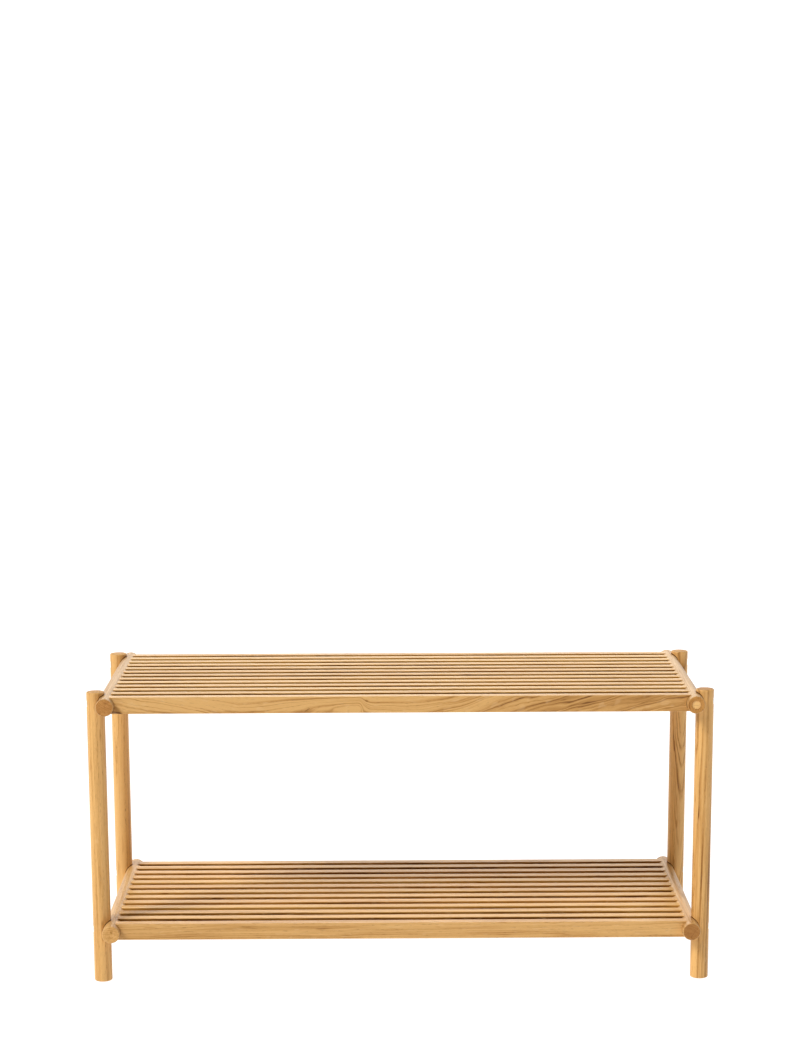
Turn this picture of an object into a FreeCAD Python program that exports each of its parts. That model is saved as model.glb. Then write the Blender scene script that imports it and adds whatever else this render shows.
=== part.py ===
"""Slatted oak entryway bench: round legs, round end rails, square long rails and slats.

Frame: +X runs along the bench, the front is -Y, +Z is up. The origin is on the floor,
under the middle of the bench. All sizes are in millimetres.
"""
import FreeCAD, Part
import math
import os

import Sketcher
from FreeCAD import Placement, Rotation, Vector

# ---------------------------------------------------------------- driving dimensions
DIMENSIONS = {
    # legs
    "leg_height": 430.0,
    "leg_diameter": 26.0,
    "leg_edge": 2.0,
    "leg_spacing_long": 874.0,
    "leg_spacing_deep": 318.0,
    # round end rails, which run front to back on the inner side of the legs
    "end_rail_diameter": 25.5,
    "end_rail_length": 390.0,
    "end_rail_edge": 1.5,
    "end_rail_inset": 16.0,
    "seat_rail_level": 413.0,
    "shelf_rail_level": 78.0,
    # square long rails at the front and the back
    "long_rail_width": 16.0,
    "long_rail_height": 24.0,
    "long_rail_setback": 15.0,
    # slats
    "slat_width": 16.0,
    "slat_height": 24.0,
    "slat_count": 11.0,
    "edge_ease": 1.0,
    # joints: the saddle notches are a little larger than the rails that lie in them,
    # and each rail touches only the deepest line, so a gap shows above and below it
    "fit_gap": 0.1,
    "notch_slack": 1.3,
    "shoulder_gap": 0.25,
    "tenon_length": 12.0,
    "mortise_depth": 13.0,
    "slat_tenon_diameter": 10.0,
    "rail_tenon_width": 8.0,
    "rail_tenon_height": 16.0,
    # bolts, threaded inserts and the plug
    "bolt_diameter": 6.0,
    "bolt_length": 25.0,
    "bolt_head_diameter": 12.0,
    "bolt_head_height": 3.5,
    "hex_key_size": 4.0,
    "hex_key_depth": 2.2,
    "counterbore_diameter": 12.6,
    "counterbore_depth": 4.5,
    "bolt_hole_diameter": 6.6,
    "insert_diameter": 9.0,
    "insert_length": 12.0,
    "insert_recess": 1.0,
    "insert_hole_past_axis": 2.5,
    "plug_diameter": 12.8,
    "plug_length": 10.0,
    "plug_edge": 0.5,
    "plug_recess": 1.0,
    "plug_hole_depth": 11.5,
}

# dimensions worked out in the sheet from the ones above
DERIVED = {
    "leg_axis_long": "=leg_spacing_long / 2",
    "leg_axis_deep": "=leg_spacing_deep / 2",
    "end_rail_axis_long": "=leg_axis_long - end_rail_inset",
    "end_rail_radius": "=end_rail_diameter / 2",
    "notch_diameter": "=end_rail_diameter + 2 * notch_slack",
    "notch_inset": "=end_rail_inset + notch_slack - fit_gap",
    "shoulder_diameter": "=end_rail_diameter + 2 * shoulder_gap",
    "long_rail_axis_deep": "=end_rail_length / 2 - long_rail_setback - long_rail_width / 2",
    "slat_pitch": "=2 * long_rail_axis_deep / (slat_count + 1)",
    "last_slat_place": "=long_rail_axis_deep - slat_pitch",
    "shoulder_length": "=2 * end_rail_axis_long",
    "tenon_tip_length": "=2 * (end_rail_axis_long - end_rail_radius + tenon_length)",
    "mortise_floor": "=mortise_depth - end_rail_radius",
    "slat_bore_diameter": "=slat_tenon_diameter + 2 * fit_gap",
    "mortise_width": "=rail_tenon_width + 2 * fit_gap",
    "mortise_height": "=rail_tenon_height + 2 * fit_gap",
    "insert_hole_diameter": "=insert_diameter + 2 * fit_gap",
    "insert_bore_diameter": "=bolt_diameter + 2 * fit_gap",
    "plug_hole_diameter": "=plug_diameter + 2 * fit_gap",
    "bolt_seat_long": "=leg_axis_long + leg_diameter / 2 - counterbore_depth",
    "insert_mouth_long": "=end_rail_axis_long + end_rail_radius - insert_recess",
    "bolt_shank_radius": "=bolt_diameter / 2",
    "bolt_head_radius": "=bolt_head_diameter / 2",
}

SHELVES = {"seat": "seat_rail_level", "shelf": "shelf_rail_level"}
# a piece modelled for the right-hand end is turned half a turn for the left-hand end
ENDS = {"left": (-1, Rotation(Vector(0, 0, 1), 180)), "right": (1, Rotation())}
SIDES = {"front": -1, "rear": 1}
POSITION_AXES = "xyz"

doc = FreeCAD.newDocument("entryway_bench")


def make_sheet():
    """Write the driving and derived dimensions into one spreadsheet."""
    sheet = doc.addObject("Spreadsheet::Sheet", "dimensions")
    rows = [(alias, str(value)) for alias, value in DIMENSIONS.items()]
    rows += list(DERIVED.items())
    for row, (alias, text) in enumerate(rows, start=1):
        sheet.set(f"A{row}", alias)
        sheet.set(f"B{row}", text)
        sheet.setAlias(f"B{row}", alias)
    doc.recompute()
    return sheet


sheet = make_sheet()


def size(alias):
    """The value of one dimension."""
    return float(getattr(sheet, alias))


def bind(owner, prop, expression):
    """Bind a property to an expression over the sheet's aliases."""
    words = expression.split(" ")
    known = DIMENSIONS.keys() | DERIVED.keys()
    bound = [f"dimensions.{word}" if word in known else word for word in words]
    owner.setExpression(prop, " ".join(bound))


def signed(sign, alias):
    """The expression for a dimension on the positive or the negative side."""
    return alias if sign > 0 else f"-1 * {alias}"


# ---------------------------------------------------------------- bodies and sketches
def new_body(name):
    body = doc.addObject("PartDesign::Body", name)
    body.Label = name
    return body


def place(body, turn=Rotation(), **position):
    """Turn the body and bind the coordinates of its origin, such as x="leg_axis_long"."""
    body.Placement = Placement(Vector(), turn)
    for axis in POSITION_AXES:
        if axis in position:
            bind(body, f"Placement.Base.{axis}", position[axis])


def new_sketch(body, name, plane_role, offset=None):
    """A sketch on one of the body's origin planes, moved along its normal by offset."""
    sketch = body.newObject("Sketcher::SketchObject", name)
    plane = next(f for f in body.Origin.OriginFeatures if f.Role == plane_role)
    sketch.AttachmentSupport = [(plane, "")]
    sketch.MapMode = "FlatFace"
    if offset:
        bind(sketch, "AttachmentOffset.Base.z", offset)
    return sketch


def constrain(sketch, name, kind, *where, expression):
    """Add a named dimension to a sketch and bind it."""
    index = sketch.addConstraint(Sketcher.Constraint(kind, *where))
    sketch.renameConstraint(index, name)
    bind(sketch, f"Constraints.{name}", expression)


def add_circle(sketch, diameter, across=None, side=1, up=None):
    """A circle on the sketch's origin, unless across (on one side) or up moves its centre."""
    middle = Vector(side * size(across) if across else 0, size(up) if up else 0, 0)
    circle = sketch.addGeometry(Part.Circle(middle, Vector(0, 0, 1), size(diameter) / 2))
    tag = f"circle_{circle}"
    constrain(sketch, f"{tag}_diameter", "Diameter", circle, size(diameter),
              expression=diameter)
    if across:
        constrain(sketch, f"{tag}_across", "DistanceX", -1, 1, circle, 3, middle.x,
                  expression=signed(side, across))
    else:
        sketch.addConstraint(Sketcher.Constraint("PointOnObject", circle, 3, -2))
    if up:
        constrain(sketch, f"{tag}_up", "DistanceY", -1, 1, circle, 3, middle.y,
                  expression=up)
    else:
        sketch.addConstraint(Sketcher.Constraint("PointOnObject", circle, 3, -1))


def add_rectangle(sketch, width, height, across=None, side=1):
    """A rectangle centred on the sketch's origin, or moved across to one side."""
    half_w = size(width) / 2
    half_h = size(height) / 2
    middle = side * size(across) if across else 0
    corners = [
        Vector(middle - half_w, -half_h, 0),
        Vector(middle + half_w, -half_h, 0),
        Vector(middle + half_w, half_h, 0),
        Vector(middle - half_w, half_h, 0),
    ]
    first = sketch.GeometryCount
    for i in range(4):
        sketch.addGeometry(Part.LineSegment(corners[i], corners[(i + 1) % 4]))
    for i in range(4):
        after = first + (i + 1) % 4
        sketch.addConstraint(Sketcher.Constraint("Coincident", first + i, 2, after, 1))
        kind = "Vertical" if i % 2 else "Horizontal"
        sketch.addConstraint(Sketcher.Constraint(kind, first + i))
    tag = f"box_{first}"
    far_side = f"{width} / 2"
    if across:
        far_side = f"{signed(side, across)} + {far_side}"
    constrain(sketch, f"{tag}_width", "DistanceX", first, 1, first, 2, 2 * half_w,
              expression=width)
    constrain(sketch, f"{tag}_height", "DistanceY", first + 1, 1, first + 1, 2, 2 * half_h,
              expression=height)
    constrain(sketch, f"{tag}_base", "DistanceY", first, 1, -1, 1, half_h,
              expression=f"{height} / 2")
    constrain(sketch, f"{tag}_side", "DistanceX", -1, 1, first, 2, middle + half_w,
              expression=far_side)


def pad(body, sketch, name, length, midplane=True):
    feature = body.newObject("PartDesign::Pad", name)
    feature.Profile = sketch
    feature.Midplane = midplane
    bind(feature, "Length", length)
    doc.recompute()
    return feature


def cut_through(body, sketch, name, toward_normal=False, midplane=False):
    """Pocket through all the wood on one side of the sketch, or on both sides."""
    before = body.Shape.Volume
    feature = body.newObject("PartDesign::Pocket", name)
    feature.Profile = sketch
    feature.Type = "ThroughAll"
    feature.Reversed = toward_normal
    feature.Midplane = midplane
    doc.recompute()
    if feature.Shape.Volume > before - 1.0:
        raise RuntimeError(f"{body.Label}: {name} cuts nothing")
    return feature


def round_edges(body, base, name, radius, chosen):
    """Fillet the edges of the base feature that the chosen test picks."""
    picked = [f"Edge{i}" for i, edge in enumerate(base.Shape.Edges, start=1) if chosen(edge)]
    feature = body.newObject("PartDesign::Fillet", name)
    feature.Base = (base, picked)
    bind(feature, "Radius", radius)
    doc.recompute()
    return feature


def is_circle(edge):
    return edge.Curve.TypeId == "Part::GeomCircle"


def is_long_line(edge):
    """A straight edge along the length of a rail or slat."""
    if edge.Curve.TypeId != "Part::GeomLine":
        return False
    return abs(edge.Curve.Direction.x) > 0.99


# ---------------------------------------------------------------- wooden pieces
def make_leg(name, end, side):
    """A round leg. It is modelled about its own axis with its outer side towards +X."""
    body = new_body(name)
    outline = new_sketch(body, f"{name}_outline", "XY_Plane")
    add_circle(outline, "leg_diameter")
    shaft = pad(body, outline, f"{name}_shaft", "leg_height", midplane=False)
    round_edges(body, shaft, f"{name}_eased_ends", "leg_edge", is_circle)

    # round saddle notches that the end rails lie in
    for shelf in SHELVES:
        notch = new_sketch(body, f"{name}_{shelf}_notch_outline", "XZ_Plane")
        add_circle(notch, "notch_diameter", across="notch_inset", side=-1,
                   up=f"{shelf}_rail_level")
        cut_through(body, notch, f"{name}_{shelf}_notch", midplane=True)

    # bolt holes from the outside, with a flat counterbore for each bolt head
    holes = new_sketch(body, f"{name}_bolt_holes_outline", "YZ_Plane")
    for level in SHELVES.values():
        add_circle(holes, "bolt_hole_diameter", up=level)
    cut_through(body, holes, f"{name}_bolt_holes", midplane=True)
    seats = new_sketch(body, f"{name}_counterbore_outline", "YZ_Plane",
                       offset="leg_diameter / 2 - counterbore_depth")
    for level in SHELVES.values():
        add_circle(seats, "counterbore_diameter", up=level)
    cut_through(body, seats, f"{name}_counterbores", toward_normal=True)

    sign, turn = ENDS[end]
    place(body, turn,
          x=signed(sign, "leg_axis_long"),
          y=signed(SIDES[side], "leg_axis_deep"))
    return body


def make_end_rail(name, end, shelf, plugged):
    """A round end rail along Y, modelled about its own middle with the legs towards +X."""
    body = new_body(name)
    outline = new_sketch(body, f"{name}_outline", "XZ_Plane")
    add_circle(outline, "end_rail_diameter")
    shaft = pad(body, outline, f"{name}_shaft", "end_rail_length")
    round_edges(body, shaft, f"{name}_eased_ends", "end_rail_edge", is_circle)

    # holes for the threaded inserts, bored from the side that lies on the legs
    holes = new_sketch(body, f"{name}_insert_holes_outline", "YZ_Plane",
                       offset="-1 * insert_hole_past_axis")
    for side in SIDES.values():
        add_circle(holes, "insert_hole_diameter", across="leg_axis_deep", side=side)
    cut_through(body, holes, f"{name}_insert_holes", toward_normal=True)

    # mortises for the two long rails, bored from the other side
    mortises = new_sketch(body, f"{name}_mortise_outline", "YZ_Plane", offset="mortise_floor")
    for side in SIDES.values():
        add_rectangle(mortises, "mortise_width", "mortise_height",
                      across="long_rail_axis_deep", side=side)
    cut_through(body, mortises, f"{name}_mortises")

    # a row of round bores for the slats
    bore = new_sketch(body, f"{name}_slat_bore_outline", "YZ_Plane", offset="mortise_floor")
    add_circle(bore, "slat_bore_diameter", across="last_slat_place", side=-1)
    first_bore = cut_through(body, bore, f"{name}_first_slat_bore")
    row = body.newObject("PartDesign::LinearPattern", f"{name}_slat_bores")
    row.Originals = [first_bore]
    row.Direction = (bore, ["H_Axis"])
    bind(row, "Length", "2 * last_slat_place")
    row.Occurrences = int(size("slat_count"))
    body.Tip = row
    doc.recompute()

    if plugged:
        mouth = new_sketch(body, f"{name}_plug_hole_outline", "XZ_Plane",
                           offset="end_rail_length / 2 - plug_hole_depth")
        add_circle(mouth, "plug_hole_diameter")
        cut_through(body, mouth, f"{name}_plug_hole", toward_normal=True)

    sign, turn = ENDS[end]
    place(body, turn, x=signed(sign, "end_rail_axis_long"), z=SHELVES[shelf])
    return body


def make_bar(name, width, height, tenon):
    """A bar along X whose ends are hollowed to fit round the end rails, with stub tenons."""
    body = new_body(name)
    section = new_sketch(body, f"{name}_section", "YZ_Plane")
    add_rectangle(section, width, height)
    bar = pad(body, section, f"{name}_bar", "shoulder_length")
    round_edges(body, bar, f"{name}_eased_edges", "edge_ease", is_long_line)

    copes = new_sketch(body, f"{name}_shoulder_outline", "XZ_Plane")
    for side, _ in ENDS.values():
        add_circle(copes, "shoulder_diameter", across="end_rail_axis_long", side=side)
    cut_through(body, copes, f"{name}_shoulders", midplane=True)

    tenon_section = new_sketch(body, f"{name}_tenon_section", "YZ_Plane")
    if tenon == "round":
        add_circle(tenon_section, "slat_tenon_diameter")
    else:
        add_rectangle(tenon_section, "rail_tenon_width", "rail_tenon_height")
    pad(body, tenon_section, f"{name}_tenons", "tenon_tip_length")
    return body


def make_long_rail(name, side, shelf):
    body = make_bar(name, "long_rail_width", "long_rail_height", tenon="square")
    place(body, y=signed(SIDES[side], "long_rail_axis_deep"), z=SHELVES[shelf])
    return body


def make_slat(name, number, shelf):
    """A slat, counted from the front."""
    body = make_bar(name, "slat_width", "slat_height", tenon="round")
    place(body, y=f"{number} * slat_pitch - long_rail_axis_deep", z=SHELVES[shelf])
    return body


def make_plug(name):
    """The round plug in the front end of the right-hand seat rail."""
    body = new_body(name)
    outline = new_sketch(body, f"{name}_outline", "XZ_Plane",
                         offset="end_rail_length / 2 - plug_recess")
    add_circle(outline, "plug_diameter")
    plug = pad(body, outline, f"{name}_plug", "plug_length", midplane=False)
    plug.Reversed = True
    doc.recompute()
    round_edges(body, plug, f"{name}_eased_ends", "plug_edge", is_circle)
    place(body, x="end_rail_axis_long", z="seat_rail_level")
    return body


# ---------------------------------------------------------------- hardware
def make_bolt(name):
    """A connector bolt along X: the head is on the +X side of the origin."""
    body = new_body(name)
    shank_outline = new_sketch(body, f"{name}_shank_outline", "YZ_Plane")
    add_circle(shank_outline, "bolt_diameter")
    shank = pad(body, shank_outline, f"{name}_shank", "bolt_length", midplane=False)
    shank.Reversed = True
    head_outline = new_sketch(body, f"{name}_head_outline", "YZ_Plane")
    add_circle(head_outline, "bolt_head_diameter")
    pad(body, head_outline, f"{name}_head", "bolt_head_height", midplane=False)

    socket = new_sketch(body, f"{name}_socket_outline", "YZ_Plane",
                        offset="bolt_head_height - hex_key_depth")
    add_hexagon(socket, "hex_key_size")
    cut_through(body, socket, f"{name}_socket", toward_normal=True)
    return body


def add_hexagon(sketch, across_flats):
    """A regular hexagon on the sketch's origin, with two of its flats upright."""
    corner_radius = size(across_flats) / math.sqrt(3)
    corners = []
    for i in range(6):
        angle = math.radians(60 * i + 30)
        corners.append(Vector(corner_radius * math.cos(angle), corner_radius * math.sin(angle), 0))
    for i in range(6):
        sketch.addGeometry(Part.LineSegment(corners[i], corners[(i + 1) % 6]))
    rim = sketch.addGeometry(Part.Circle(Vector(), Vector(0, 0, 1), corner_radius), True)
    sketch.addConstraint(Sketcher.Constraint("Coincident", rim, 3, -1, 1))
    for i in range(6):
        sketch.addConstraint(Sketcher.Constraint("Coincident", i, 2, (i + 1) % 6, 1))
        sketch.addConstraint(Sketcher.Constraint("PointOnObject", i, 1, rim))
        if i:
            sketch.addConstraint(Sketcher.Constraint("Equal", 0, i))
    sketch.addConstraint(Sketcher.Constraint("Vertical", 5))
    constrain(sketch, "rim_diameter", "Diameter", rim, 2 * corner_radius,
              expression=f"2 * {across_flats} / sqrt(3)")


def make_insert(name):
    """A threaded insert along X: its mouth is at the origin and it reaches towards -X."""
    body = new_body(name)
    outline = new_sketch(body, f"{name}_outline", "YZ_Plane")
    add_circle(outline, "insert_diameter")
    add_circle(outline, "insert_bore_diameter")
    sleeve = pad(body, outline, f"{name}_sleeve", "insert_length", midplane=False)
    sleeve.Reversed = True
    doc.recompute()
    return body


def make_hardware_group(name, make_one, outward):
    """Eight equal pieces, one at each crossing of a leg and an end rail, in one compound."""
    pieces = []
    for shelf, level in SHELVES.items():
        for side, deep_sign in SIDES.items():
            for end, (sign, turn) in ENDS.items():
                piece = make_one(f"{name}_{shelf}_{side}_{end}")
                place(piece, turn,
                      x=signed(sign, outward),
                      y=signed(deep_sign, "leg_axis_deep"),
                      z=level)
                pieces.append(piece)
    group = doc.addObject("Part::Compound", name)
    group.Label = name
    group.Links = pieces
    return group


# ---------------------------------------------------------------- the bench
def make_bench():
    pieces = []
    for side in SIDES:
        for end in ENDS:
            pieces.append(make_leg(f"leg_{side}_{end}", end, side))
    for shelf in SHELVES:
        for end in ENDS:
            plugged = shelf == "seat" and end == "right"
            pieces.append(make_end_rail(f"{shelf}_end_rail_{end}", end, shelf, plugged))
        for side in SIDES:
            pieces.append(make_long_rail(f"{shelf}_{side}_rail", side, shelf))
        for number in range(1, int(size("slat_count")) + 1):
            pieces.append(make_slat(f"{shelf}_slat_{number:02d}", number, shelf))
    pieces.append(make_plug("end_rail_plug"))
    pieces.append(make_hardware_group("leg_bolts", make_bolt, "bolt_seat_long"))
    pieces.append(make_hardware_group("threaded_inserts", make_insert, "insert_mouth_long"))
    doc.recompute()
    return pieces


def check(pieces):
    """Stop if any object failed or any piece has a broken shape."""
    for thing in doc.Objects:
        if {"Invalid", "Error"} & set(thing.State):
            raise RuntimeError(f"{thing.Name} failed: {thing.State}")
    for piece in pieces:
        if piece.Shape.isNull() or not piece.Shape.isValid():
            raise RuntimeError(f"{piece.Label} has no valid shape")


def write(pieces):
    os.makedirs("parts", exist_ok=True)
    for piece in pieces:
        piece.Shape.exportStep(f"parts/{piece.Label}.step")


pieces = make_bench()
check(pieces)
write(pieces)
for piece in pieces:
    box = piece.Shape.BoundBox
    print(f"{piece.Label:24s} solids {len(piece.Shape.Solids)} volume {piece.Shape.Volume:10.1f}"
          f"  x {box.XMin:8.2f} {box.XMax:8.2f}  y {box.YMin:8.2f} {box.YMax:8.2f}"
          f"  z {box.ZMin:8.2f} {box.ZMax:8.2f}")
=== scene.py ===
import math
import random

import bpy
from mathutils import Euler, Matrix, Vector


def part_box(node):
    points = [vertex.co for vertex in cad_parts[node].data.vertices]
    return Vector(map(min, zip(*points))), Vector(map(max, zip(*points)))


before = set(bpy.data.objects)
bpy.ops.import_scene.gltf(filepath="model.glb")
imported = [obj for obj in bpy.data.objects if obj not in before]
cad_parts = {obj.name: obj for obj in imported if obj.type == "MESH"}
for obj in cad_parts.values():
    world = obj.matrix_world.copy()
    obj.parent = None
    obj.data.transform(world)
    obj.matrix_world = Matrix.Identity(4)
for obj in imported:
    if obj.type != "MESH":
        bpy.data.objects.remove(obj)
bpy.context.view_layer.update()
# every piece takes its wood from this, always in the same order
dice = random.Random(41)

MM = 0.001

# ---------------------------------------------------------------- node helpers
def set_ramp(ramp, stops):
    """Set a colour ramp's stops from (position, (r, g, b)) pairs."""
    while len(ramp.elements) > 1:
        ramp.elements.remove(ramp.elements[-1])
    for i, (position, colour) in enumerate(stops):
        stop = ramp.elements[0] if i == 0 else ramp.elements.new(position)
        stop.position = position
        stop.color = (*colour, 1)


class Graph:
    """Adds nodes to a tree. An input given as a socket is linked, and a number is set."""

    def __init__(self, tree):
        self.tree = tree

    def add(self, kind, inputs=(), **settings):
        node = self.tree.nodes.new(kind)
        for name, value in settings.items():
            setattr(node, name, value)
        for key, value in dict(inputs).items():
            self.feed(node.inputs[key], value)
        return node

    def feed(self, socket, value):
        if isinstance(value, bpy.types.NodeSocket):
            self.tree.links.new(value, socket)
        else:
            socket.default_value = value

    def math(self, operation, a, b=0.0):
        return self.add("ShaderNodeMath", {0: a, 1: b}, operation=operation).outputs[0]

    def total(self, first, *rest):
        for value in rest:
            first = self.math("ADD", first, value)
        return first

    def inverse(self, value):
        """1 where value is 0, and 0 where it is 1."""
        return self.math("SUBTRACT", 1.0, value)

    def split(self, vector):
        """A vector's X, Y and Z sockets, by name."""
        return self.add("ShaderNodeSeparateXYZ", {0: vector}).outputs

    def joined(self, x=0.0, y=0.0, z=0.0):
        return self.add("ShaderNodeCombineXYZ", {0: x, 1: y, 2: z}).outputs[0]

    def normal(self):
        """The face's own direction, split."""
        return self.split(self.add("ShaderNodeNewGeometry").outputs["True Normal"])

    def centred(self, noise, amount):
        """Noise moved to run from -amount / 2 to amount / 2."""
        return self.math("MULTIPLY", self.math("SUBTRACT", noise, 0.5), amount)

    def scaled(self, vector, factors):
        node = self.add("ShaderNodeVectorMath", {0: vector, 1: factors}, operation="MULTIPLY")
        return node.outputs[0]

    def noise(self, vector, stretch, detail=2.0, roughness=0.5, seed=0.0):
        """Noise from 0 to 1 whose frequencies along the three grain axes are given per mm."""
        inputs = {"Vector": self.scaled(vector, stretch), "W": seed, "Scale": 1.0,
                  "Detail": detail, "Roughness": roughness}
        node = self.add("ShaderNodeTexNoise", inputs, noise_dimensions="4D")
        return node.outputs["Fac"]

    def smooth(self, value, low, high):
        """0 below low, 1 above high, and a smooth step between."""
        inputs = {"Value": value, "From Min": low, "From Max": high}
        node = self.add("ShaderNodeMapRange", inputs, interpolation_type="SMOOTHSTEP")
        return node.outputs["Result"]

    def ramp(self, value, stops):
        node = self.add("ShaderNodeValToRGB", {0: value})
        set_ramp(node.color_ramp, stops)
        return node.outputs["Color"]

    def blend(self, factor, a, b, mode="MIX"):
        node = self.add("ShaderNodeMix", {"Factor": factor, 6: a, 7: b},
                        data_type="RGBA", blend_type=mode)
        return node.outputs[2]


def grey(level):
    return (level, level, level)


# ---------------------------------------------------------------- camera, light and floor
CAMERA_PLACE = (-0.0185, -3.674, 1.097)
CAMERA_PITCH_DOWN = math.radians(11.98)
CAMERA_YAW = math.radians(-0.29)
CAMERA_ROLL = math.radians(-0.23)
CAMERA_LENS = 85.9
CAMERA_SENSOR = 36.0
CAMERA_SHIFT_UP = 0.2112
CAMERA_REACH = 200.0

KEY_FROM_LEFT = math.radians(52)
KEY_ELEVATION = math.radians(45)
KEY_SOFTNESS = math.radians(20)
KEY_POWER = 2.35
KEY_COLOUR = (1.0, 0.965, 0.91)

BACK_ELEVATION = math.radians(24)
BACK_SOFTNESS = math.radians(40)
BACK_POWER = 0.55
BACK_COLOUR = (1.0, 0.88, 0.70)

# brightness of the studio round the bench, by the sine of the height above the horizon
SKY_BEHIND = [(0.0, 1.25), (0.10, 1.3), (0.45, 1.3), (0.70, 0.6), (1.0, 0.5)]
SKY_IN_FRONT = [(0.0, 0.35), (0.20, 0.2), (0.70, 0.2), (1.0, 0.3)]
SKY_BLEND = 0.3
# the ramps hold the levels divided by this, and the whole sky is multiplied by it
SKY_STRENGTH = 2.0

FLOOR_SIZE = 60.0
FLOOR_GREY = (0.25, 0.25, 0.25)
FLOOR_ROUGHNESS = 0.9
FLOOR_GLOW = 0.96


def make_camera():
    lens = bpy.data.cameras.new("camera")
    lens.sensor_width = CAMERA_SENSOR
    lens.lens = CAMERA_LENS
    lens.shift_y = CAMERA_SHIFT_UP
    lens.clip_end = CAMERA_REACH
    camera = bpy.data.objects.new("camera", lens)
    turn = Matrix.Rotation(CAMERA_YAW, 3, "Z")
    turn = turn @ Matrix.Rotation(math.pi / 2 - CAMERA_PITCH_DOWN, 3, "X")
    turn = turn @ Matrix.Rotation(CAMERA_ROLL, 3, "Z")
    camera.matrix_world = Matrix.Translation(CAMERA_PLACE) @ turn.to_4x4()
    bpy.context.scene.collection.objects.link(camera)
    bpy.context.scene.camera = camera


def make_sun(name, power, softness, colour, elevation, heading):
    """A distant lamp; heading turns it about Z from straight in front of the bench."""
    lamp = bpy.data.lights.new(name, "SUN")
    lamp.energy = power
    lamp.angle = softness
    lamp.color = colour
    sun = bpy.data.objects.new(name, lamp)
    sun.rotation_euler = Euler((math.pi / 2 - elevation, 0, heading), "XYZ")
    bpy.context.scene.collection.objects.link(sun)


def make_lights():
    """A key from above the front left, and a warm, very soft light from behind."""
    make_sun("key", KEY_POWER, KEY_SOFTNESS, KEY_COLOUR, KEY_ELEVATION, -KEY_FROM_LEFT)
    make_sun("back", BACK_POWER, BACK_SOFTNESS, BACK_COLOUR, BACK_ELEVATION, math.pi)


def make_world():
    """A white studio: a bright wall behind the bench, a dimmer room in front of it."""
    world = bpy.data.worlds.new("studio")
    world.use_nodes = True
    bpy.context.scene.world = world
    world.node_tree.nodes.clear()
    g = Graph(world.node_tree)
    toward = g.add("ShaderNodeTexCoord").outputs["Generated"]
    axes = g.split(toward)
    front, behind = (
        g.ramp(axes["Z"], [(place, grey(level / SKY_STRENGTH)) for place, level in levels])
        for levels in (SKY_IN_FRONT, SKY_BEHIND))
    share = g.smooth(axes["Y"], -SKY_BLEND, SKY_BLEND)
    room = g.blend(share, front, behind)
    # the room itself looks white from every side
    seen = g.add("ShaderNodeLightPath").outputs["Is Camera Ray"]
    room = g.blend(seen, room, (*grey(1.0), 1))
    sky = g.add("ShaderNodeBackground", {"Color": room, "Strength": SKY_STRENGTH})
    g.add("ShaderNodeOutputWorld", {"Surface": sky.outputs[0]})


def make_floor():
    """White paper, which also throws light up under the bench."""
    half = FLOOR_SIZE / 2
    mesh = bpy.data.meshes.new("floor")
    corners = [(-half, -half, 0), (half, -half, 0), (half, half, 0), (-half, half, 0)]
    mesh.from_pydata(corners, [], [(0, 1, 2, 3)])
    floor = bpy.data.objects.new("floor", mesh)
    bpy.context.scene.collection.objects.link(floor)
    paper = bpy.data.materials.new("floor_paper")
    paper.use_nodes = True
    shader = paper.node_tree.nodes["Principled BSDF"]
    shader.inputs["Base Color"].default_value = (*FLOOR_GREY, 1)
    shader.inputs["Roughness"].default_value = FLOOR_ROUGHNESS
    shader.inputs["Emission Color"].default_value = (1, 1, 1, 1)
    shader.inputs["Emission Strength"].default_value = FLOOR_GLOW
    mesh.materials.append(paper)


# ---------------------------------------------------------------- oak
OAK_PALE = (0.68, 0.395, 0.138)
OAK_MIDDLE = (0.54, 0.283, 0.083)
OAK_BROWN = (0.37, 0.170, 0.036)
OAK_DEEP = (0.15, 0.055, 0.008)
OAK_RAY = (0.80, 0.56, 0.31)
END_GRAIN = (0.74, 0.64, 0.52)
PLAIN_TINT = (1.0, 1.0, 1.0)
# painted shade: the colour the wood is multiplied by in and round the joints
PAINTED_SHADE_COLOUR = (0.30, 0.16, 0.05)
OAK_SPECULAR = 0.30

# the wood's colour by darkness, and the darkness across one year's ring
OAK_COLOURS = [(0.0, OAK_PALE), (0.35, OAK_MIDDLE), (0.75, OAK_BROWN), (1.0, OAK_DEEP)]
RING_PROFILE = [(0.0, 0.85), (0.10, 1.0), (0.32, 0.30), (0.55, 0.10), (0.85, 0.38), (1.0, 0.80)]

# the grain's noises: waves per mm along the grain and across it, and levels of detail
GRAIN_NOISES = {
    "slow": (0.0045, 0.02, 2.0),
    "quick": (0.022, 0.07, 2.0),
    "fading": (0.005, 0.12, 1.0),
    "streak": (0.010, 0.50, 4.0),
    "band": (0.007, 0.17, 2.0),
    "patch": (0.005, 0.06, 2.0),
    "fleck": (0.022, 0.20, 1.0),
    "fibre": (0.06, 4.0, 2.0),
    "pore": (0.14, 2.4, 1.0),
}
STREAK_ROUGHNESS = 0.6
QUICK_BEND = 0.30

# years of uneven width: how often the width changes, in waves per ring, and by how many rings
YEAR_SCALE = 0.45
YEAR_CHANGE = 2.4
# rings fade in and out along the grain: their least strength, and what is added where they
# are strongest
RING_LEAST = 0.35
RING_MORE = 1.3
# how strong the pores are in late wood, as a share of those in early wood
LATE_PORES = 0.22
# ray sheets: waves per mm along the grain, per radian round the pith and per mm from it
RAY_WAVES = (0.07, 75.0, 0.09)

# where a feature begins and where it is full, on its noise or on the ring's phase
FADING_STEP = (0.30, 0.72)
EARLY_STEP = (0.08, 0.42)
BAND_STEP = (0.52, 0.70)
FLECK_STEP = (0.66, 0.74)
PORE_STEP = (0.57, 0.68)
RAY_STEP = (0.60, 0.70)

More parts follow.
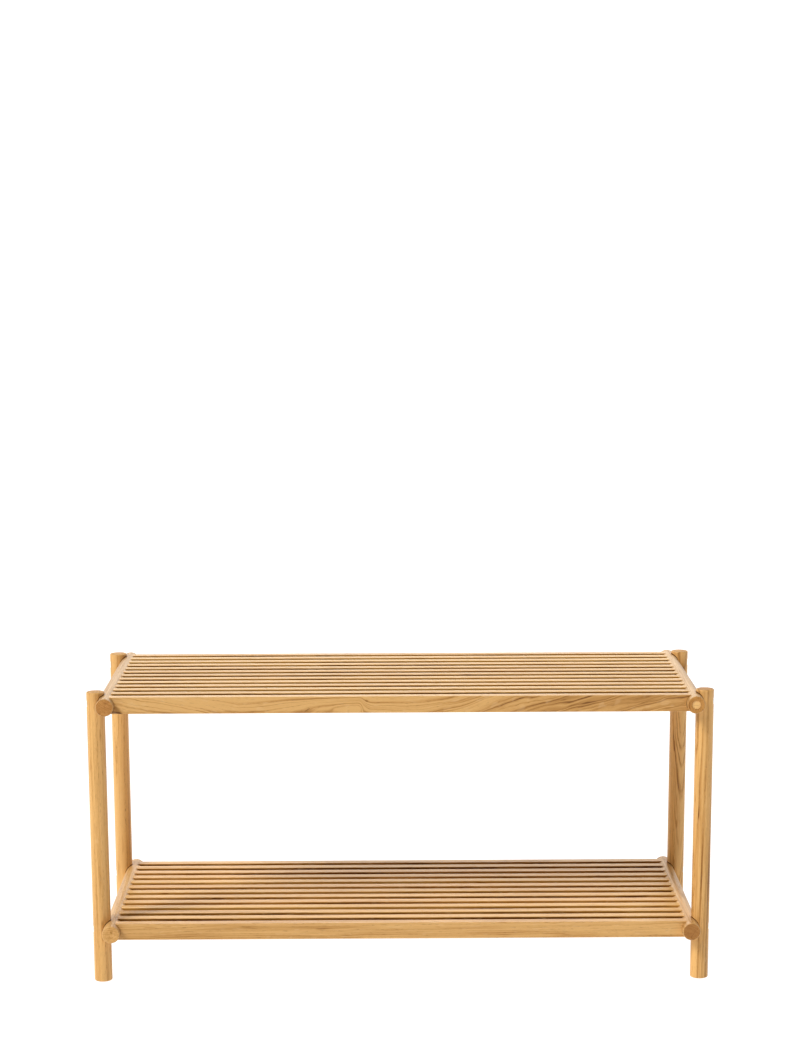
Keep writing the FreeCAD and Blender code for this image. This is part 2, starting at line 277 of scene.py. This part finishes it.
# how far each feature darkens the wood, covers it with its own colour, roughens it and
# raises it in mm
STREAK_DARKNESS = 0.95
PATCH_DARKNESS = 0.60
FIBRE_DARKNESS = 0.22
BAND_DARKNESS = 0.22
FLECK_DARKNESS = 0.35
WEAR_DARKNESS = -0.16
PORE_COVER = 0.62
RAY_COVER = 0.14
OAK_ROUGHNESS = 0.36
STREAK_ROUGHENING = 0.14
PORE_ROUGHENING = 0.20
END_ROUGHENING = 0.20
WEAR_ROUGHENING = -0.05
CREASE_ROUGHENING = 0.4
PORE_HEIGHT = -0.050
FIBRE_HEIGHT = 0.012
RING_HEIGHT = -0.018
STREAK_HEIGHT = 0.030


def make_oak_group():
    """Solid oak: growth rings round a pith line, with pores, rays and fibres along the grain.

    The Grain vector is in mm: X runs along the grain, and Y and Z are measured from the pith.
    Shift moves the figure by mm. Tone darkens the wood, and also carries painted shade on the
    sides in the gaps and a painted shadow. End is 1 on end grain, the input for painted shade is
    1 in and round a joint, and Wear is 1 on a rubbed edge.
    """
    group = bpy.data.node_groups.new("oak", "ShaderNodeTree")
    face = group.interface
    face.new_socket("Grain", in_out="INPUT", socket_type="NodeSocketVector")
    for name in ("Seed", "Ring Width", "Waviness", "Figure", "Shift", "Tone", "End", "Painted Shade",
                 "Wear"):
        face.new_socket(name, in_out="INPUT", socket_type="NodeSocketFloat")
    for name in ("Tint", "End Tint"):
        face.new_socket(name, in_out="INPUT", socket_type="NodeSocketColor")
    face.new_socket("Colour", in_out="OUTPUT", socket_type="NodeSocketColor")
    face.new_socket("Roughness", in_out="OUTPUT", socket_type="NodeSocketFloat")
    face.new_socket("Height", in_out="OUTPUT", socket_type="NodeSocketFloat")
    g = Graph(group)
    given = g.add("NodeGroupInput").outputs
    seed = given["Seed"]

    def noise(name, vector, roughness=0.5):
        along, across, detail = GRAIN_NOISES[name]
        return g.noise(vector, (along, across, across), detail, roughness, seed)

    # a tree grows unevenly: the whole figure is moved to and from the pith as it runs along
    slow = g.centred(noise("slow", given["Grain"]), 1.0)
    quick = g.centred(noise("quick", given["Grain"]), QUICK_BEND)
    bend = g.math("ADD", slow, quick)
    bend = g.math("ADD", g.math("MULTIPLY", bend, given["Waviness"]), given["Shift"])
    moved = g.add("ShaderNodeVectorMath", {0: given["Grain"], 1: g.joined(y=bend)},
                  operation="ADD")
    grain = moved.outputs[0]
    axes = g.split(grain)
    square = g.math("ADD", g.math("POWER", axes["Y"], 2), g.math("POWER", axes["Z"], 2))
    radius = g.math("SQRT", square)

    # the years' rings
    turns = g.math("DIVIDE", radius, given["Ring Width"])
    years = g.add("ShaderNodeTexNoise", {"W": g.math("ADD", turns, seed), "Scale": YEAR_SCALE},
                  noise_dimensions="1D").outputs["Fac"]
    turns = g.math("ADD", turns, g.math("MULTIPLY", years, YEAR_CHANGE))
    phase = g.math("FRACT", turns)
    ring = g.ramp(phase, [(place, grey(level)) for place, level in RING_PROFILE])
    fading = g.smooth(noise("fading", grain), *FADING_STEP)
    strength = g.math("ADD", RING_LEAST, g.math("MULTIPLY", fading, RING_MORE))
    ring = g.math("MULTIPLY", ring, strength)
    early = g.inverse(g.smooth(phase, *EARLY_STEP))

    # fibres, brown bands and slow colour changes along the grain
    streak = noise("streak", grain, STREAK_ROUGHNESS)
    band = g.smooth(noise("band", grain), *BAND_STEP)
    patch = noise("patch", grain)
    fleck = g.smooth(noise("fleck", grain), *FLECK_STEP)
    fibre = noise("fibre", grain)

    # open pores: short dashes along the grain, dots on end grain, densest in early wood
    pore = g.smooth(noise("pore", grain), *PORE_STEP)
    pore = g.math("MULTIPLY", pore,
                  g.math("ADD", LATE_PORES, g.math("MULTIPLY", early, 1 - LATE_PORES)))

    # rays: thin sheets that stand out from the pith
    angle = g.math("ARCTAN2", axes["Z"], axes["Y"])
    sheet = g.scaled(g.joined(axes["X"], angle, radius), RAY_WAVES)
    ray = g.smooth(g.noise(sheet, (1.0, 1.0, 1.0), detail=1.0, seed=seed), *RAY_STEP)

    darkness = g.total(
        g.math("MULTIPLY", ring, given["Figure"]),
        g.centred(streak, STREAK_DARKNESS),
        g.centred(patch, PATCH_DARKNESS),
        g.centred(fibre, FIBRE_DARKNESS),
        g.math("MULTIPLY", band, BAND_DARKNESS),
        g.math("MULTIPLY", fleck, FLECK_DARKNESS),
        g.math("MULTIPLY", given["Wear"], WEAR_DARKNESS),
        # Tone also carries painted shade on the sides in the gaps and a painted shadow
        given["Tone"],
    )
    colour = g.ramp(darkness, OAK_COLOURS)
    colour = g.blend(g.math("MULTIPLY", pore, PORE_COVER), colour, (*OAK_DEEP, 1))
    colour = g.blend(g.math("MULTIPLY", ray, RAY_COVER), colour, (*OAK_RAY, 1))
    tint = g.blend(given["End"], given["Tint"], given["End Tint"])
    colour = g.blend(1.0, colour, tint, mode="MULTIPLY")
    # painted shade in and round the joints
    colour = g.blend(given["Painted Shade"], colour, (*PAINTED_SHADE_COLOUR, 1), mode="MULTIPLY")

    rough = g.total(
        OAK_ROUGHNESS,
        g.math("MULTIPLY", streak, STREAK_ROUGHENING),
        g.math("MULTIPLY", pore, PORE_ROUGHENING),
        g.math("MULTIPLY", given["End"], END_ROUGHENING),
        g.math("MULTIPLY", given["Wear"], WEAR_ROUGHENING),
        g.math("MULTIPLY", given["Painted Shade"], CREASE_ROUGHENING),
    )

    height = g.total(
        g.math("MULTIPLY", pore, PORE_HEIGHT),
        g.math("MULTIPLY", fibre, FIBRE_HEIGHT),
        g.math("MULTIPLY", ring, RING_HEIGHT),
        g.math("MULTIPLY", streak, STREAK_HEIGHT),
    )

    g.add("NodeGroupOutput", {"Colour": colour, "Roughness": rough, "Height": height})
    return group


# turns a piece's long axis onto the grain's X axis
GRAIN_TURN = {
    "X": Matrix.Identity(3),
    "Y": Matrix.Rotation(-math.pi / 2, 3, "Z"),
    "Z": Matrix.Rotation(math.pi / 2, 3, "Y"),
}
# how far a face looks along the grain where end grain begins and where it is full
END_STEP = (0.70, 0.95)
# every piece has its own wood: its seed lies from 0 to this
LAST_SEED = 50.0


def middle_and_half(node):
    """A node's middle in metres and its half sizes in mm."""
    low, high = (Vector(corner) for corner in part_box(node))
    return (low + high) / 2, (high - low) / 2 / MM


def oak(node, axis, pith=40.0, around=0.0, slope=0.5, ring_width=4.0, waviness=6.0,
        figure=0.35, tone=0.05, tint=PLAIN_TINT, end_tint=END_GRAIN, details=None):
    """Dress one node in oak whose grain runs along axis, with the pith off its middle.

    pith is that distance in mm, around the direction in degrees, and slope the grain's angle
    to the piece in degrees. details(g, local) may return sockets for the group's Figure, Shift,
    Crease and Wear, and a Tone that is added to tone. local is in mm from the node's middle.
    """
    middle, _ = middle_and_half(node)
    seed = dice.uniform(0, LAST_SEED)
    roll = Matrix.Rotation(math.radians(around), 3, "X")
    tilt = Matrix.Rotation(math.radians(slope), 3, "Z")
    turn = tilt @ roll @ GRAIN_TURN[axis]

    material = bpy.data.materials.new(f"oak_{node}")
    material.use_nodes = True
    g = Graph(material.node_tree)
    shader = material.node_tree.nodes["Principled BSDF"]
    place = g.add("ShaderNodeTexCoord").outputs["Object"]
    local = g.add("ShaderNodeMapping", {
        "Vector": place,
        "Location": -middle / MM,
        "Scale": (1 / MM, 1 / MM, 1 / MM),
    }).outputs[0]
    grain = g.add("ShaderNodeMapping", {
        "Vector": local,
        "Location": (0, pith, 0),
        "Rotation": turn.to_euler("XYZ"),
    }).outputs[0]
    end = g.smooth(g.math("ABSOLUTE", g.normal()[axis]), *END_STEP)
    wood = g.add("ShaderNodeGroup", node_tree=OAK)
    extra = details(g, local) if details else {}
    if "Tone" in extra:
        extra["Tone"] = g.math("ADD", extra["Tone"], tone)
    inputs = {"Grain": grain, "Seed": seed, "Ring Width": ring_width, "Waviness": waviness,
              "Figure": figure, "Tone": tone, "End": end, "Tint": (*tint, 1),
              "End Tint": (*end_tint, 1), **extra}
    for key, value in inputs.items():
        g.feed(wood.inputs[key], value)
    bump = g.add("ShaderNodeBump", {"Height": wood.outputs["Height"], "Strength": 1.0,
                                    "Distance": MM})
    shader.inputs["Specular IOR Level"].default_value = OAK_SPECULAR
    g.feed(shader.inputs["Base Color"], wood.outputs["Colour"])
    g.feed(shader.inputs["Roughness"], wood.outputs["Roughness"])
    g.feed(shader.inputs["Normal"], bump.outputs[0])
    dress(node, material)


def dress(node, material):
    """Give a CAD node its material."""
    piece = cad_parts[node]
    for i in range(len(piece.material_slots)):
        piece.material_slots[i].material = material


# ---------------------------------------------------------------- details of the pieces
# all lengths in mm
WEAR_MARGIN = 0.4
WEAR_WIDTH = 1.4
# a leg's notch is larger than the rail in it, and its middle lies inwards from the rail's
NOTCH_SLACK = 1.3
NOTCH_INWARD = 1.2
# painted shade round the joints: how far past a joint's outline it stays full, and the width over
# which it ends
NOTCH_SHADE = (0.2, 0.8)
SADDLE_SHADE = (-0.3, 0.6)
SHOULDER_SHADE = (0.05, 0.35)
# how far a face looks sideways, or up or down, where it begins to count and where it is full
FACE_STEP = (0.4, 0.9)
# painted shade on the sides in the gaps: the depth below the top edge at which it begins and
# where it is full
GAP_DEPTH = (0.2, 1.2)
# the painted shade in the gaps changes along a bar: how often, in waves per mm, and from what
# share of it. The amount of shade times GAP_SEEDS gives each bar its own changes
GAP_WAVES = 0.012
GAP_LEAST = 0.5
GAP_SEEDS = 100
# how much painted shade the long rails' sides get in the gaps
RAIL_SHADE = 0.65


def distance_from_line(g, local, centre, axis):
    """Distance in mm from a line through centre along an axis."""
    across = Vector([0.0 if name == axis else 1.0 for name in "XYZ"])
    offset = g.add("ShaderNodeVectorMath", {0: local, 1: centre}, operation="SUBTRACT")
    flat = g.scaled(offset.outputs[0], across)
    return g.add("ShaderNodeVectorMath", {0: flat}, operation="LENGTH").outputs["Value"]


def near_lines(g, local, centres, axis, radius, fade):
    """1 within radius of any of the lines, falling to 0 over fade."""
    mask = 0.0
    for centre in centres:
        distance = distance_from_line(g, local, centre, axis)
        inside = g.inverse(g.smooth(distance, radius, radius + fade))
        mask = g.math("MAXIMUM", mask, inside)
    return mask


def painted_joint_shade(g, local, centres, axis, outline, shade):
    """Painted shade in and round joints with round outlines. shade is its (margin, fade) past
    them.
    """
    margin, fade = shade
    return near_lines(g, local, centres, axis, outline + margin, fade)


def worn_edges(g, local, axis, half, round_bar):
    """1 on a bar's long edges, or on a round bar's rims, gone WEAR_WIDTH further in."""
    sizes = g.add("ShaderNodeVectorMath", {0: local}, operation="ABSOLUTE").outputs[0]
    inset = g.add("ShaderNodeVectorMath", {0: half, 1: sizes}, operation="SUBTRACT").outputs[0]
    depths = g.split(inset)
    if round_bar:
        radius = half["XYZ".index("Z" if axis == "Y" else "X")]
        out = distance_from_line(g, local, (0, 0, 0), axis)
        corner = g.math("MAXIMUM", depths[axis], g.math("SUBTRACT", radius, out))
    else:
        corner = g.math("MAXIMUM", depths["Y"], depths["Z"])
    return g.inverse(g.smooth(corner, WEAR_MARGIN, WEAR_MARGIN + WEAR_WIDTH))


def leg_details(node, end):
    """Painted shade inside the two notches, paler on the rims."""
    middle, half = middle_and_half(node)
    rails = [middle_and_half(f"{shelf}_end_rail_{end}") for shelf in ("seat", "shelf")]
    offset = Vector((NOTCH_INWARD if end == "left" else -NOTCH_INWARD, 0, 0))
    centres = [(rail_middle - middle) / MM + offset for rail_middle, _ in rails]
    notch_radius = rails[0][1].z + NOTCH_SLACK

    def details(g, local):
        return {"Painted Shade": painted_joint_shade(g, local, centres, "Y", notch_radius, NOTCH_SHADE),
                "Wear": worn_edges(g, local, "Z", half, round_bar=True)}
    return details


def end_rail_details(node, end):
    """Painted shade where the rail lies in the legs' notches, paler on the rims."""
    middle, half = middle_and_half(node)
    legs = [middle_and_half(f"leg_{side}_{end}") for side in ("front", "rear")]
    centres = [(leg_middle - middle) / MM for leg_middle, _ in legs]
    leg_radius = legs[0][1].y

    def details(g, local):
        return {"Painted Shade": painted_joint_shade(g, local, centres, "Z", leg_radius, SADDLE_SHADE),
                "Wear": worn_edges(g, local, "Y", half, round_bar=True)}
    return details


def painted_gap_shade(g, local, half, faces, amount):
    """Painted shade on a bar's upright faces in the gaps, growing below the top edge.

    faces is -1 for the front face, 1 for the rear face and 0 for both.
    """
    facing = g.normal()["Y"]
    facing = g.math("MULTIPLY", facing, faces) if faces else g.math("ABSOLUTE", facing)
    upright = g.smooth(facing, *FACE_STEP)
    depth = g.smooth(g.math("SUBTRACT", half.z, g.split(local)["Z"]), *GAP_DEPTH)
    change = g.noise(local, (GAP_WAVES, 0.0, 0.0), detail=1.0, seed=GAP_SEEDS * amount)
    change = g.math("ADD", GAP_LEAST, change)
    return g.math("MULTIPLY", g.math("MULTIPLY", upright, depth),
                  g.math("MULTIPLY", change, amount))


def bar_details(node, faces, amount):
    """Painted shade on the sides in the gaps and in the joints at the shoulders, and paler long
    edges.
    """
    middle, half = middle_and_half(node)
    rail_middle, rail_half = middle_and_half("seat_end_rail_right")
    rail_place = (rail_middle.x - middle.x) / MM
    centres = [(-rail_place, 0, 0), (rail_place, 0, 0)]

    def details(g, local):
        return {"Tone": painted_gap_shade(g, local, half, faces, amount),
                "Painted Shade": painted_joint_shade(g, local, centres, "Y", rail_half.z, SHOULDER_SHADE),
                "Wear": worn_edges(g, local, "X", half, round_bar=False)}
    return details


# ---------------------------------------------------------------- the seat's front rail
# places and spans are in mm from the rail's middle, and other lengths in mm
FRONT_FIGURE = 0.60
# the figure falls at the left end, and rises to the right in flames
FALL_END = -230.0
FALL_SLOPE = 0.20
FLAME_SPAN = (0, 150)
FLAME_SLOPE = 0.22
# the cathedral's tip, long to its left and blunt to its right
TIP_PLACE = -66.0
TIP_TURN = (-10, 14)
TIP_LONG = 110.0
TIP_BLUNT = 15.0
TIP_HEIGHT = 13.0
TIP_RINGS = 17.0
# ripples lean like the flames, and are larger there
RIPPLE_SEED = 3.0
RIPPLE_WAVES = 0.028
RIPPLE_LEAN = 1.6
RIPPLE_STRETCH = 1.4
RIPPLE_LEAST = 4.0
RIPPLE_SPAN = (20, 120)
RIPPLE_MORE = 12.0
# darker to the right, a wavy brown band low on the left, a pin knot and a painted shadow in the
# lower left corner
DRIFT_SPAN = (-300, 360)
DRIFT_TONE = 0.56
BAND_WAVES = 0.02
BAND_SWAY = 7.0
BAND_EDGE = (-10.5, -6.0)
BAND_END = (-150, 0)
BAND_TONE = 0.42
KNOT_PLACE = (-48.0, 0.0, 6.0)
KNOT_RADIUS = 0.8
KNOT_FADE = 2.6
KNOT_TONE = 0.35
# a painted shadow: the end rail's end casting its shade on the rail's face, in the lower left
# corner
PAINTED_SHADOW_PLACE = (-412.0, 0.0, -14.0)
PAINTED_SHADOW_RADIUS = 12.0
PAINTED_SHADOW_FADE = 5.0
PAINTED_SHADOW_TONE = 0.62


def front_rail_shift(g, x, z):
    """Mm that the figure is moved by: it falls at the left, is pushed up round the tip, and
    rises to the right in leaning ripples."""
    rise = g.math("MULTIPLY", g.math("MULTIPLY", x, FLAME_SLOPE), g.smooth(x, *FLAME_SPAN))
    fall = g.math("MAXIMUM", g.math("SUBTRACT", FALL_END, x), 0.0)
    fall = g.math("MULTIPLY", fall, FALL_SLOPE)

    off = g.math("SUBTRACT", x, TIP_PLACE)
    right = g.smooth(off, *TIP_TURN)
    reach = g.math("ADD", TIP_LONG, g.math("MULTIPLY", right, TIP_BLUNT - TIP_LONG))
    off = g.math("POWER", g.math("ABSOLUTE", g.math("DIVIDE", off, reach)), 2)
    up = g.math("POWER", g.math("ABSOLUTE", g.math("DIVIDE", z, TIP_HEIGHT)), 2)
    tip = g.math("EXPONENT", g.math("MULTIPLY", g.math("ADD", off, up), -1.0))

    lean = g.joined(g.math("SUBTRACT", x, g.math("MULTIPLY", z, RIPPLE_LEAN)),
                    g.math("MULTIPLY", z, RIPPLE_STRETCH))
    ripple = g.noise(lean, (RIPPLE_WAVES, RIPPLE_WAVES, 0.0), seed=RIPPLE_SEED)
    more = g.math("MULTIPLY", g.smooth(x, *RIPPLE_SPAN), RIPPLE_MORE)
    ripple = g.math("MULTIPLY", g.centred(ripple, 1.0), g.math("ADD", RIPPLE_LEAST, more))
    return g.total(rise, fall, ripple, g.math("MULTIPLY", tip, TIP_RINGS))


def front_rail_tone(g, local, x, z):
    """Darker to the right, with a brown band low on the left, a pin knot and a painted shadow in
    the lower left corner.
    """
    drift = g.smooth(x, *DRIFT_SPAN)
    waves = g.noise(local, (BAND_WAVES, 0.0, 0.0), detail=1.0)
    band = g.inverse(g.smooth(g.math("ADD", z, g.centred(waves, BAND_SWAY)), *BAND_EDGE))
    band = g.math("MULTIPLY", band, g.inverse(g.smooth(x, *BAND_END)))
    knot = near_lines(g, local, [KNOT_PLACE], "Y", KNOT_RADIUS, KNOT_FADE)
    # painted shadow in the lower left corner
    painted_shadow = near_lines(g, local, [PAINTED_SHADOW_PLACE], "Y", PAINTED_SHADOW_RADIUS, PAINTED_SHADOW_FADE)
    return g.total(
        g.math("MULTIPLY", drift, DRIFT_TONE),
        g.math("MULTIPLY", band, BAND_TONE),
        g.math("MULTIPLY", knot, KNOT_TONE),
        g.math("MULTIPLY", painted_shadow, PAINTED_SHADOW_TONE),
    )


def front_rail_details(node):
    """A bar's details, with the figure, the marks and the painted shadow of the seat's front
    rail.
    """
    plain = bar_details(node, 1, RAIL_SHADE)

    def details(g, local):
        extra = plain(g, local)
        axes = g.split(local)
        extra["Shift"] = front_rail_shift(g, axes["X"], axes["Z"])
        tone = front_rail_tone(g, local, axes["X"], axes["Z"])
        extra["Tone"] = g.math("ADD", extra["Tone"], tone)
        # the top and the underside show the rings' edges, which are fainter
        level = g.smooth(g.math("ABSOLUTE", g.normal()["Z"]), *FACE_STEP)
        extra["Figure"] = g.math("MULTIPLY", FRONT_FIGURE, g.inverse(level))
        return extra
    return details


# ---------------------------------------------------------------- dressing the pieces
# how much painted shade a slat's sides get in the gaps: the slat behind the front rail, and the
# least and most of the others
FRONT_SLAT_SHADE = 0.98
SLAT_SHADES = {"seat": (0.64, 0.92), "shelf": (0.45, 0.80)}
SLAT_COUNT = 11

LEG_TINT = (1.09, 1.08, 1.05)
PLUG_TINT = (1.15, 1.17, 1.20)


def dress_legs():
    # tone, figure, slope of the grain in degrees and the tint of the top
    looks = {"front_left": (-0.12, 0.46, 0.5, (0.88, 0.80, 0.68)),
             "front_right": (-0.02, 0.56, 0.8, (0.78, 0.68, 0.55)),
             "rear_left": (-0.15, 0.34, 0.6, (0.92, 0.86, 0.78)),
             "rear_right": (-0.20, 0.70, 2.6, (0.90, 0.84, 0.76))}
    for place, (tone, figure, slope, end_tint) in looks.items():
        node = f"leg_{place}"
        oak(node, "Z", pith=dice.uniform(25, 60), around=dice.uniform(0, 360), slope=slope,
            ring_width=dice.uniform(2.5, 4.0), waviness=7.0,
            figure=figure, tone=tone, tint=LEG_TINT, end_tint=end_tint,
            details=leg_details(node, place.split("_")[1]))


def dress_end_rails():
    # tone, tint of the long grain and tint of the ends
    looks = {"seat_end_rail_left": (0.22, (0.94, 1.01, 1.24), (0.84, 0.71, 0.56)),
             "seat_end_rail_right": (0.22, (0.94, 1.01, 1.22), (0.84, 0.72, 0.54)),
             "shelf_end_rail_left": (0.08, (0.97, 1.01, 1.12), (1.0, 0.97, 0.93)),
             "shelf_end_rail_right": (0.14, (0.97, 1.01, 1.12), (0.62, 0.49, 0.35))}
    for node, (tone, tint, end_tint) in looks.items():
        oak(node, "Y", pith=dice.uniform(20, 45), around=dice.uniform(0, 360),
            slope=dice.uniform(0.2, 1.0), ring_width=dice.uniform(2.5, 3.5), waviness=4.0,
            figure=0.22, tone=tone, tint=tint, end_tint=end_tint,
            details=end_rail_details(node, node.split("_")[-1]))


def dress_long_rails():
    oak("seat_front_rail", "X", pith=46.0, around=90.0, slope=0.6, ring_width=5.5,
        waviness=12.0, tone=-0.33, details=front_rail_details("seat_front_rail"))
    for node, faces in (("seat_rear_rail", -1), ("shelf_front_rail", 1), ("shelf_rear_rail", -1)):
        oak(node, "X", pith=dice.uniform(50, 90), around=dice.uniform(60, 120),
            slope=dice.uniform(0.2, 0.8), ring_width=5.0, waviness=9.0, figure=0.24, tone=0.05,
            details=bar_details(node, faces, RAIL_SHADE))


def dress_slats():
    for shelf, (least, most) in SLAT_SHADES.items():
        for number in range(1, SLAT_COUNT + 1):
            node = f"{shelf}_slat_{number:02d}"
            shade = FRONT_SLAT_SHADE if number == 1 else dice.uniform(least, most)
            oak(node, "X", pith=dice.uniform(30, 90), around=dice.uniform(0, 360),
                slope=dice.uniform(-0.9, 0.9), ring_width=dice.uniform(2.8, 4.6),
                waviness=dice.uniform(4, 9), figure=dice.uniform(0.22, 0.40),
                tone=dice.uniform(-0.18, 0.06),
                tint=(1.0, dice.uniform(0.98, 1.01), dice.uniform(0.80, 0.95)),
                details=bar_details(node, 0, shade))


def dress_plug():
    oak("end_rail_plug", "X", pith=60.0, around=20.0, ring_width=3.0, waviness=3.0,
        figure=0.15, tone=-0.34, tint=PLUG_TINT)


# ---------------------------------------------------------------- hardware
ZINC = (0.62, 0.63, 0.65)
ZINC_ROUGHNESS = 0.28
BRASS = (0.80, 0.60, 0.28)
BRASS_ROUGHNESS = 0.30
# clouds in the plating and turning marks, in waves per mm, and what the clouds change
CLOUD_WAVES = (0.25, 0.25, 0.25)
MARK_WAVES = (3.0, 0.4, 0.4)
CLOUD_SHADE = 0.72
CLOUD_ROUGHENING = 0.18
MARK_STRENGTH = 0.4
MARK_DEPTH = 0.02


def metal(name, colour, roughness):
    """Plated metal with fine turning marks and a slightly uneven shine."""
    material = bpy.data.materials.new(name)
    material.use_nodes = True
    g = Graph(material.node_tree)
    shader = material.node_tree.nodes["Principled BSDF"]
    place = g.scaled(g.add("ShaderNodeTexCoord").outputs["Object"], (1 / MM, 1 / MM, 1 / MM))
    clouds = g.noise(place, CLOUD_WAVES, detail=3.0)
    marks = g.noise(place, MARK_WAVES)
    worn = tuple(channel * CLOUD_SHADE for channel in colour)
    g.feed(shader.inputs["Base Color"], g.blend(clouds, (*colour, 1), (*worn, 1)))
    g.feed(shader.inputs["Roughness"],
           g.math("ADD", roughness, g.math("MULTIPLY", clouds, CLOUD_ROUGHENING)))
    bump = g.add("ShaderNodeBump", {"Height": marks, "Strength": MARK_STRENGTH,
                                    "Distance": MARK_DEPTH * MM})
    g.feed(shader.inputs["Normal"], bump.outputs[0])
    shader.inputs["Metallic"].default_value = 1.0
    return material


def dress_hardware():
    dress("leg_bolts", metal("zinc_steel", ZINC, ZINC_ROUGHNESS))
    dress("threaded_inserts", metal("plain_brass", BRASS, BRASS_ROUGHNESS))


# ---------------------------------------------------------------- the scene
bpy.context.scene.view_settings.view_transform = "Standard"
make_camera()
make_lights()
make_world()
make_floor()
OAK = make_oak_group()
dress_legs()
dress_end_rails()
dress_long_rails()
dress_slats()
dress_plug()
dress_hardware()
